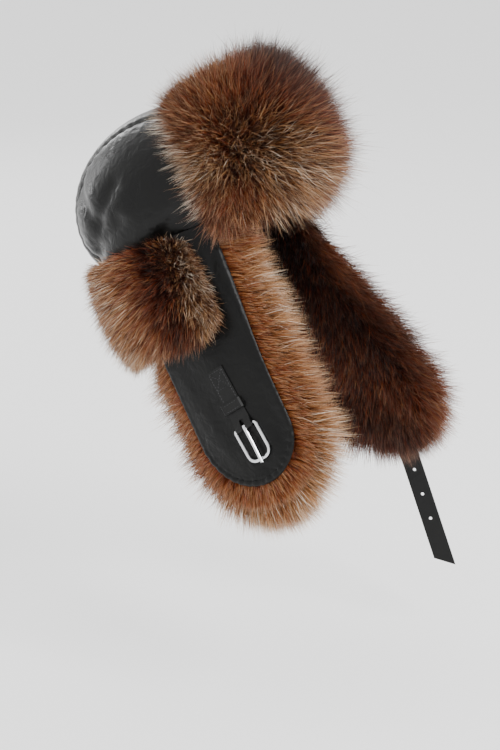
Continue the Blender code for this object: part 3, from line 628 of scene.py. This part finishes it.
def flap_surface(side, across, drop):
    """Outer leather of an ear flap; side is -1 on the wearer's right."""
    y = FLAP_CENTRE + across
    rim_curve = RIM_HALF_WIDTH * (1 - np.sqrt(np.clip(1 - (y / RIM_HALF_LENGTH) ** 2, 0, 1)))
    bow = FLAP_BOW * (across / FLAP_HALF_WIDTH) ** 2
    x = RIM_HALF_WIDTH + FLAP_FLARE[side] * drop - mix(rim_curve, bow, smooth_share(drop / FLAP_SETTLE))
    return np.stack([side * x, y - FLAP_LEAN * drop, -drop], -1)


def offset(surface, u, v, out):
    """Points that stand off a surface, measured square to it and away from the head."""
    step = 1e-4
    place = surface(u, v)
    square = unit(np.cross(surface(u + step, v) - surface(u - step, v), surface(u, v + step) - surface(u, v - step)))
    outward = np.sign((square[..., :2] * place[..., :2]).sum(-1, keepdims=True))
    return place + square * outward * np.asarray(out)[..., None]


def tongue_rows(length, count):
    """Drops of a flap's rows, with even steps down its sides and round its end."""
    straight = length - FLAP_HALF_WIDTH
    down = straight * np.arange(count) / count
    round_end = straight + FLAP_HALF_WIDTH * np.sin(np.linspace(0, math.radians(84), count // 2 + 1))
    return np.concatenate([down, round_end])


def tongue_half_width(drop, length):
    past = np.maximum(drop - (length - FLAP_HALF_WIDTH), 0) / FLAP_HALF_WIDTH
    return FLAP_HALF_WIDTH * np.sqrt(np.clip(1 - past**2, 0, 1))


TURNED_EDGE = 0.0065
STITCH_LINE = 0.0042
STITCH_PITCH = 0.0052


def flap_leather(name, side, finish):
    bpy.ops.object.select_all(action="DESELECT")
    bpy.ops.mesh.primitive_grid_add(x_subdivisions=36, y_subdivisions=130, size=2)
    made = start_piece(name)
    grid = get_points(made)
    drops = tongue_rows(FLAP_LENGTH, 60)
    drop = np.interp((1 - grid[:, 1]) / 2 * (len(drops) - 1), np.arange(len(drops)), drops)
    drop = np.maximum(drop, SEAM_GAP)
    half = tongue_half_width(drop, FLAP_LENGTH)
    # Columns crowd towards the edge, where the turned hem needs them
    across = np.sin(grid[:, 0] * math.pi / 2) * half
    sideways = half - np.abs(across)
    past = np.maximum(drop - (FLAP_LENGTH - FLAP_HALF_WIDTH), 0)
    radius = np.sqrt(across**2 + past**2)
    from_edge = np.where(past > 0, FLAP_HALF_WIDTH - radius, sideways)
    along = np.where(past > 0, np.arctan2(past, np.abs(across)) * FLAP_HALF_WIDTH, 0) + np.minimum(
        drop, FLAP_LENGTH - FLAP_HALF_WIDTH
    )
    hem = smooth_share(1 - np.abs(from_edge - 0.4 * TURNED_EDGE) / TURNED_EDGE)
    stitch = 0.5 + 0.5 * np.cos(along / STITCH_PITCH * math.tau)
    pressed = np.exp(-(((from_edge - STITCH_LINE) / 0.0013) ** 2))
    round_end = 0.35 + 0.65 * smooth_share(past / 0.01)
    pucker = 0.5 + 0.5 * np.sin(along / (1.7 * STITCH_PITCH) * math.tau + 1.6 * np.sin(along * 83))
    out = (0.0006 + 0.0011 * pucker * round_end) * hem - (0.0005 + 0.0011 * stitch) * pressed * round_end
    out -= 0.0011 * smooth_share(1 - from_edge / 0.0016)
    out += 0.0010 * np.sin(along * 37 + across * 60) * np.sin(across * 90 + side) * (1 - hem)
    place = offset(lambda u, v: flap_surface(side, u, v), across, drop, out)
    set_points(made, in_row(place))
    apply_modifier(made, "SOLIDIFY", thickness=0.9 * LEATHER, offset=-1)
    bpy.ops.object.mode_set(mode="EDIT")
    bpy.ops.mesh.select_all(action="SELECT")
    bpy.ops.mesh.normals_make_consistent(inside=False)
    bpy.ops.object.mode_set(mode="OBJECT")
    made.data.shade_smooth()
    made.data.set_sharp_from_angle(angle=math.radians(60))
    made.data.materials.append(finish)
    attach(made, "hat")
    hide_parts(name)
    return made


matt_leather = leather_finish("black nappa leather, matt", "030303", 0.36, 0.60, 0.17)
flap_leather("ear_flap_right_leather", -1, matt_leather)
flap_leather("ear_flap_left_leather", 1, matt_leather)

# Ear flap fur
# Pelt on the inner face of each flap, golden on the right and dark brown on the left. It runs
# a finger's width past the leather, and long hair fans out from there.
FLAP_FUR_EDGE = 0.010
NAPE_DROP = 0.086
NAPE_HAIR = 0.030
FLAP_FUR = {
    -1: dict(body=0.008, face_hair=0.020, rim_hair=0.046, under=0.62, guard=0.80, dark_share=0.14),
    1: dict(body=0.014, face_hair=0.026, rim_hair=0.050, under=0.20, guard=0.36, dark_share=0.3),
}


def flap_fur_place(side, row, column, out):
    length = FLAP_LENGTH + FLAP_FUR_EDGE
    drops = np.maximum(tongue_rows(length, 9), 6 * SEAM_GAP)
    drop = np.interp(row * (len(drops) - 1), np.arange(len(drops)), drops)
    half = tongue_half_width(drop, length)
    share = half / FLAP_HALF_WIDTH
    front = -half - FLAP_FUR_EDGE * share
    rear = half + mix(-PELT, FLAP_FUR_EDGE, smooth_share((drop - NAPE_DROP) / 0.024)) * share
    return offset(lambda u, v: flap_surface(side, u, v), mix(front, rear, column), drop, out)


def flap_fan(side, row, column):
    """Away from the flap's middle, along its face."""
    middle = flap_fur_place(side, np.minimum(row, 0.72), 0.5 + 0 * row, 0 * row)
    return unit(flap_fur_place(side, row, column, 0 * row) - middle)


def flap_hairs(draw, side, kind, count, width, rings, clump, clump_size):
    looks = FLAP_FUR[side]
    back = -LEATHER - 0.0004
    row, column = draw.random(count), draw.random(count)
    rim = draw.random(count) < 0.55
    deep = draw.random(count) ** 1.5 * 0.14
    left = draw.random(count) < 0.5
    below = draw.random(count) < 0.20
    row = np.where(rim & below, 1 - 0.7 * deep, row)
    column = np.where(rim & ~below, np.where(left, deep, 1 - deep), column)
    thin = mix(0.30, 1.0, smooth_share(row / 0.42))
    pile = PELT + looks["body"] * bulge(row, column) * thin
    out = back - pile * mix(0.2, 0.95, draw.random(count) ** 0.5)
    roots = flap_fur_place(side, row, column, out)
    inward = unit(flap_fur_place(side, row, column, out - 0.001) - roots)
    fan = flap_fan(side, row, column)
    far = np.abs(2 * column - 1)[:, None]
    down = np.array([0, 0, -1.0])
    rim_share = rim[:, None]
    tilt = draw.uniform(-0.15, 0.55, (count, 1))
    face_way = inward * 0.75 + fan * far * 0.75 + down * 0.45
    rim_way = fan + inward * tilt + down * 0.12
    way = unit(np.where(rim_share, rim_way, face_way))
    rise = unit(way + draw.normal(0, 0.20, (count, 3)))
    fall = unit(way + down * 0.25 + draw.normal(0, 0.32, (count, 3)))
    top = np.where((column < 0.5) & rim, 0.85, 0.45)
    reach = np.where(rim, looks["rim_hair"], looks["face_hair"]) * mix(top, 1.0, smooth_share(row / 0.4))
    rear = np.where((column > 0.5) & rim, smooth_share((row - 0.25) / 0.15), 1.0)
    reach = reach * mix(0.25, 1.0, rear) * draw.uniform(0.5, 1.08, count)
    tone = looks[kind] + 0.07 * np.sin(row * 9 + column * 5) - 0.22 * smooth_share(1 - row / 0.3)
    tone += 0.14 * smooth_share(1 - column / 0.12) * (side > 0)
    if kind == "guard":
        dark = np.minimum(looks["under"], UMBER) - 0.06
        tone = np.where(draw.random(count) < looks["dark_share"], dark, tone + draw.normal(0, 0.08, count))
    return ribbons(
        draw, roots, rise, fall, reach, tone, width * draw.uniform(0.7, 1.2, count),
        rings, clump, clump_size,
    )


def edge_hairs(draw, side, count, length, width):
    """Short hair on the outer side of the pelt, lying away from the leather that it comes out under."""
    row, near = draw.random(count), draw.random(count)
    front = draw.random(count) < 0.5
    column = np.where(front, 0.14 * near, 1 - 0.14 * near)
    below = draw.random(count) < 0.22
    row = np.where(below, 1 - 0.20 * near, row)
    column = np.where(below, draw.random(count), column)
    out = np.full(count, -LEATHER - SEAM_GAP)
    roots = flap_fur_place(side, row, column, out)
    outward = unit(flap_fur_place(side, row, column, out + 0.001) - roots)
    fan = flap_fan(side, row, column)
    down = np.array([0, 0, -1.0])
    way = unit(fan + outward * draw.uniform(0.02, 0.30, (count, 1)) + down * 0.25)
    rise = unit(way + draw.normal(0, 0.12, (count, 3)))
    fall = unit(way + down * 0.3 + draw.normal(0, 0.20, (count, 3)))
    tone = np.where(side < 0, 0.54, UMBER) + draw.normal(0, 0.05, count)
    return ribbons(
        draw, roots, rise, fall, length * draw.uniform(0.6, 1.1, count), tone,
        width * draw.uniform(0.7, 1.2, count), 2, 0.4, 8,
    )


def flap_fur(name, side, seed, under_count, guard_count):
    draw = np.random.default_rng(seed)
    looks = FLAP_FUR[side]
    rows, columns = np.meshgrid(np.linspace(0, 1, 84), np.linspace(0, 1, 40), indexing="ij")
    thin = mix(0.30, 1.0, smooth_share(rows / 0.42))
    back = -LEATHER - 0.0004
    # The pelt's tone sits 0.12 below the underfur's, and it also takes the root's painted shade. Together they give
    # painted shade under the hair.
    pelt = pelt_sheet(
        flap_fur_place(side, rows, columns, back - PELT - looks["body"] * bulge(rows, columns) * thin * 0.9),
        flap_fur_place(side, rows, columns, back + 0 * rows),
        looks["under"] - 0.12 + 0.02 * columns,
    )
    under = flap_hairs(draw, side, "under", under_count, 0.0006, 2, 0.4, 14)
    guard = flap_hairs(draw, side, "guard", guard_count, 0.00055, 2, 0.25, 6)
    edge = edge_hairs(draw, side, 11000, 0.017, 0.0006)
    made = fur_object(name, [under, guard, edge], pelt, guard_hair)
    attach(made, "hat")
    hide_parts(name)
    return made


flap_fur("ear_flap_right_fur", -1, 21, 28000, 17000)
flap_fur("ear_flap_left_fur", 1, 22, 28000, 17000)

# Nape
# A leather band round the back of the head, with fur sewn on its outside that reaches over the
# upper rear of both ear flaps. Its hair parts behind the ear and falls to both sides.
NAPE_TAPER = 0.20
NAPE_HALF_TURN = math.radians(112)
NAPE_BODY = 0.013
NAPE_END_SHARE = 0.14
NAPE_END_ROUND = 0.62
NAPE_SIDE_TURN = math.acos(-(FLAP_CENTRE + FLAP_HALF_WIDTH) / RIM_HALF_LENGTH)


def skirt_surface(turn, drop):
    """The leather below the rim at a turn from the front: an ear flap's, or the nape's behind it."""
    turn, drop = np.broadcast_arrays(np.mod(turn, math.tau), drop)
    right = turn < math.pi
    side = np.where(right, -1.0, 1.0)
    from_front = np.where(right, turn, math.tau - turn)
    beside = -RIM_HALF_LENGTH * np.cos(from_front) - FLAP_CENTRE
    on_flap = np.where(right[..., None], flap_surface(-1, beside, drop), flap_surface(1, beside, drop))
    across = FLAP_HALF_WIDTH + 0 * drop
    edge = np.where(right[..., None], flap_surface(-1, across, drop), flap_surface(1, across, drop))
    back = RIM_HALF_LENGTH - NAPE_TAPER * drop
    behind = (math.cos(NAPE_SIDE_TURN) - np.cos(from_front)) / (math.cos(NAPE_SIDE_TURN) + 1)
    round_back = np.stack([
        edge[..., 0] * np.sin(from_front) / math.sin(NAPE_SIDE_TURN),
        mix(edge[..., 1], back, behind),
        -drop,
    ], -1)
    return np.where((from_front <= NAPE_SIDE_TURN)[..., None], on_flap, round_back)


def nape_place(row, column, out):
    along = 2 * column - 1
    past = np.maximum(np.abs(along) - 1 + NAPE_END_SHARE, 0) / NAPE_END_SHARE
    half = (NAPE_DROP / 2 - 3 * SEAM_GAP) * np.sqrt(1 - (NAPE_END_ROUND * past) ** 2)
    return offset(skirt_surface, math.pi + along * NAPE_HALF_TURN, NAPE_DROP / 2 + (2 * row - 1) * half, out)


def nape_face(row, column):
    return SEAM_GAP + PELT + NAPE_BODY * bulge(row, column) * mix(0.5, 1.0, row)


NAPE_PATCHES = (
    dict(column=0.02, row=0.45, reach=0.04, under=UMBER, guard=SAND),
    dict(column=0.08, row=0.45, reach=0.03, under=BLACK_BROWN, guard=UMBER),
    dict(column=0.14, row=0.45, reach=0.04, under=RUST, guard=TAN),
    dict(column=0.23, row=0.45, reach=0.06, under=0.56, guard=SAND),
    dict(column=0.33, row=0.45, reach=0.08, under=TAN, guard=SAND),
    dict(column=0.45, row=0.50, reach=0.12, under=UMBER, guard=TAN),
    dict(column=0.60, row=0.50, reach=0.12, under=RUST, guard=SAND),
    dict(column=0.80, row=0.50, reach=0.10, under=0.56, guard=TAN),
    dict(column=0.95, row=0.50, reach=0.08, under=UMBER, guard=SAND),
)
NAPE_PARTING = 0.085


def nape_hairs(draw, kind, count, length, width, rings, clump, clump_size):
    edge = draw.random(count) < 0.35
    row, column = draw.random(count), draw.random(count)
    side = draw.integers(0, 4, count)
    deep = draw.random(count) ** 2 * 0.12
    row = np.where(edge & (side < 2), 1 - deep, row)
    column = np.where(edge & (side == 2), deep * 0.5, np.where(edge & (side == 3), 1 - deep * 0.5, column))
    out = nape_face(row, column) * mix(0.3, 0.95, draw.random(count) ** 0.4)
    roots = nape_place(row, column, out)
    outward = unit(nape_place(row, column, out + 0.001) - roots)
    toward = unit(nape_place(row, column + 1e-3, out) - nape_place(row, column - 1e-3, out))
    from_parting = np.where(column < 0.5, column - NAPE_PARTING, 1 - NAPE_PARTING - column)
    turned = np.where(column < 0.5, 1.0, -1.0)
    sweep = (np.clip(from_parting / 0.09, -1, 1) * turned)[:, None] * toward
    down = np.array([0, 0, -1.0])
    way = unit(outward * 0.8 + sweep * 0.65 + down * mix(-0.45, 0.8, row)[:, None])
    rise = unit(way + draw.normal(0, 0.24, (count, 3)))
    fall = unit(way + down * 0.35 + draw.normal(0, 0.34, (count, 3)))
    full = mix(0.75, 1.0, smooth_share(row / 0.55)) * draw.uniform(0.55, 1.08, count)
    tone = patch_tone(NAPE_PATCHES, row * 0 + 0.45, column, kind)
    if kind == "guard":
        tone = tone + brindle(row, 2 * column, 0.10) + draw.normal(0, 0.09, count)
        tone = np.where(draw.random(count) < DARK_SHARE, UMBER, tone)
    return ribbons(
        draw, roots, rise, fall, length * full, tone, width * draw.uniform(0.7, 1.2, count),
        rings, clump, clump_size,
    )


rows, columns = np.meshgrid(np.linspace(0, 1, 30), np.linspace(0, 1, 130), indexing="ij")
nape_pelt = pelt_sheet(
    nape_place(rows, columns, nape_face(rows, columns) * 0.92),
    nape_place(rows, columns, SEAM_GAP + 0 * rows),
    patch_tone(NAPE_PATCHES, rows, columns, "under"),
)
draw = np.random.default_rng(31)
under = nape_hairs(draw, "under", 30000, NAPE_HAIR * 0.8, 0.0006, 2, 0.5, 14)
guard = nape_hairs(draw, "guard", 24000, NAPE_HAIR, 0.00055, 2, 0.25, 6)
nape = fur_object("nape_fur", [under, guard], nape_pelt, guard_hair)
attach(nape, "hat")
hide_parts("nape_fur")


def dress(name, finish):
    """A node whose shape is right keeps it and takes this finish."""
    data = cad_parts[name].data
    data.materials.clear()
    data.materials.append(finish)


dress("nape_leather", matt_leather)

# Buckle and strap
# A chromed steel frame and prong on a folded leather chape, and a punched strap on the left flap.
chrome, _, _ = new_finish("chromed steel, polished", base_color=linear("cfd0d2"), metallic=1.0, roughness=0.10)
dress("buckle_frame", chrome)
dress("buckle_prong", chrome)

# Stitching: waxed black thread in a groove along the flaps' turned edges, in a box with a cross
# on the chape, and in two rows over the keeper.
THREAD = 0.0007
BUCKLE_FROM_END = 0.052
BUCKLE_FORWARD = 0.008
BUCKLE_TURN = math.radians(5)
CHAPE_WIDTH = 0.018
CHAPE_LENGTH = 0.056
CHAPE_TOP = SEAM_GAP + 0.003
KEEPER_UP = 0.0205
KEEPER_TOP = CHAPE_TOP + 0.0034


def stitch_mesh(name, places, ways, outs, length, finish):
    """One small spindle of thread for each place, along its way and half sunk in the leather."""
    ways = unit(ways)
    sides = unit(np.cross(ways, outs))
    ends = ways * length / 2
    points = np.stack([
        places - ends, places + ends, places + sides * THREAD / 2, places - sides * THREAD / 2,
        places + outs * THREAD / 2, places - outs * THREAD / 2,
    ], 1)
    corners = [(0, 2, 4), (0, 4, 3), (0, 3, 5), (0, 5, 2), (1, 4, 2), (1, 3, 4), (1, 5, 3), (1, 2, 5)]
    faces = (np.arange(len(places)) * 6)[:, None, None] + np.array(corners)
    mesh = bpy.data.meshes.new(name)
    mesh.from_pydata(in_row(points.reshape(-1, 3)).tolist(), [], faces.reshape(-1, 3).tolist())
    mesh.materials.append(finish)
    made = bpy.data.objects.new(name, mesh)
    bpy.context.collection.objects.link(made)
    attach(made, "hat")


def edge_line(side):
    """Evenly spaced places for the topstitch round an ear flap, with their ways and outward sides."""
    straight = FLAP_LENGTH - FLAP_HALF_WIDTH
    radius = FLAP_HALF_WIDTH - STITCH_LINE
    down = np.arange(0.010, straight, STITCH_PITCH)
    turns = np.linspace(0, math.pi, int(math.pi * radius / STITCH_PITCH) + 1)
    across = np.concatenate([np.full(len(down), -radius), -radius * np.cos(turns), np.full(len(down), radius)])
    drop = np.concatenate([down, straight + radius * np.sin(turns), down[::-1]])
    ahead = np.concatenate([0 * down, radius * np.sin(turns), 0 * down])
    fall = np.concatenate([1 + 0 * down, radius * np.cos(turns), -1 - 0 * down])
    size = np.hypot(ahead, fall)
    ahead, fall = ahead / size * 1e-3, fall / size * 1e-3

    def surface(u, v):
        return flap_surface(side, u, v)

    place = offset(surface, across, drop, 0.0002 + 0 * drop)
    out = unit(offset(surface, across, drop, 0.001 + 0 * drop) - offset(surface, across, drop, 0 * drop))
    way = surface(across + ahead, drop + fall) - surface(across - ahead, drop - fall)
    return place, way, out


def on_buckle(points):
    """Points given along the bar to the rear, down the strap and out of it, in the hat's frame."""

    def surface(u, v):
        return flap_surface(-1, np.array(u), np.array(v))

    drop = FLAP_LENGTH - BUCKLE_FROM_END
    origin = surface(-BUCKLE_FORWARD, drop)
    out = unit(offset(lambda u, v: surface(u, v), np.array(-BUCKLE_FORWARD), np.array(drop), 1.0) - origin)
    down = surface(-BUCKLE_FORWARD, drop + 0.01) - origin
    down = unit(down - out * (down @ out))
    rear = np.cross(down, out)
    cosine, sine = math.cos(BUCKLE_TURN), math.sin(BUCKLE_TURN)
    down, rear = down * cosine - rear * sine, rear * cosine + down * sine
    return origin + points @ np.stack([rear, down, out]), out


def straight_stitches(lines):
    """Stitches along straight lines on the buckle's strap; each line has two ends and a height."""
    places, ways = [], []
    for start, end, height in lines:
        start, end = np.array([*start, height]), np.array([*end, height])
        count = max(round(float(np.linalg.norm(end - start)) / 0.0026), 1)
        share = (np.arange(count) + 0.5)[:, None] / count
        places.append(start + (end - start) * share)
        ways.append(np.repeat((end - start)[None], count, 0))
    places, ways = np.concatenate(places), np.concatenate(ways)
    base, out = on_buckle(places)
    tip, _ = on_buckle(places + ways)
    return base, tip - base, np.repeat(out[None], len(base), 0)


strap_leather = leather_finish("black strap leather, waxed", "050505", 0.38, 0.2, 0.22)
dress("buckle_chape", strap_leather)
dress("buckle_keeper", strap_leather)
dress("tie_strap", strap_leather)
thread, _, _ = new_finish("waxed black thread", base_color=linear("1b1b1d"), roughness=0.38, specular_ior_level=0.5)
for name, side in (("flap_topstitch_right", -1), ("flap_topstitch_left", 1)):
    stitch_mesh(name, *edge_line(side), 0.0036, thread)
half = CHAPE_WIDTH / 2 - 0.002
top, foot = -CHAPE_LENGTH + 0.002, -CHAPE_LENGTH + 0.018
box = [((-half, top), (half, top)), ((half, top), (half, foot)), ((half, foot), (-half, foot)), ((-half, foot), (-half, top))]
cross = [((-half, top), (half, foot)), ((half, top), (-half, foot))]
sides = [((x, foot), (x, -KEEPER_UP - 0.006)) for x in (-half, half)]
rows = [((-half, -KEEPER_UP + shift), (half, -KEEPER_UP + shift)) for shift in (-0.003, 0.003)]
lines = [(*line, CHAPE_TOP) for line in box + cross + sides] + [(*line, KEEPER_TOP) for line in rows]
stitch_mesh("buckle_strap_stitching", *straight_stitches(lines), 0.0022, thread)
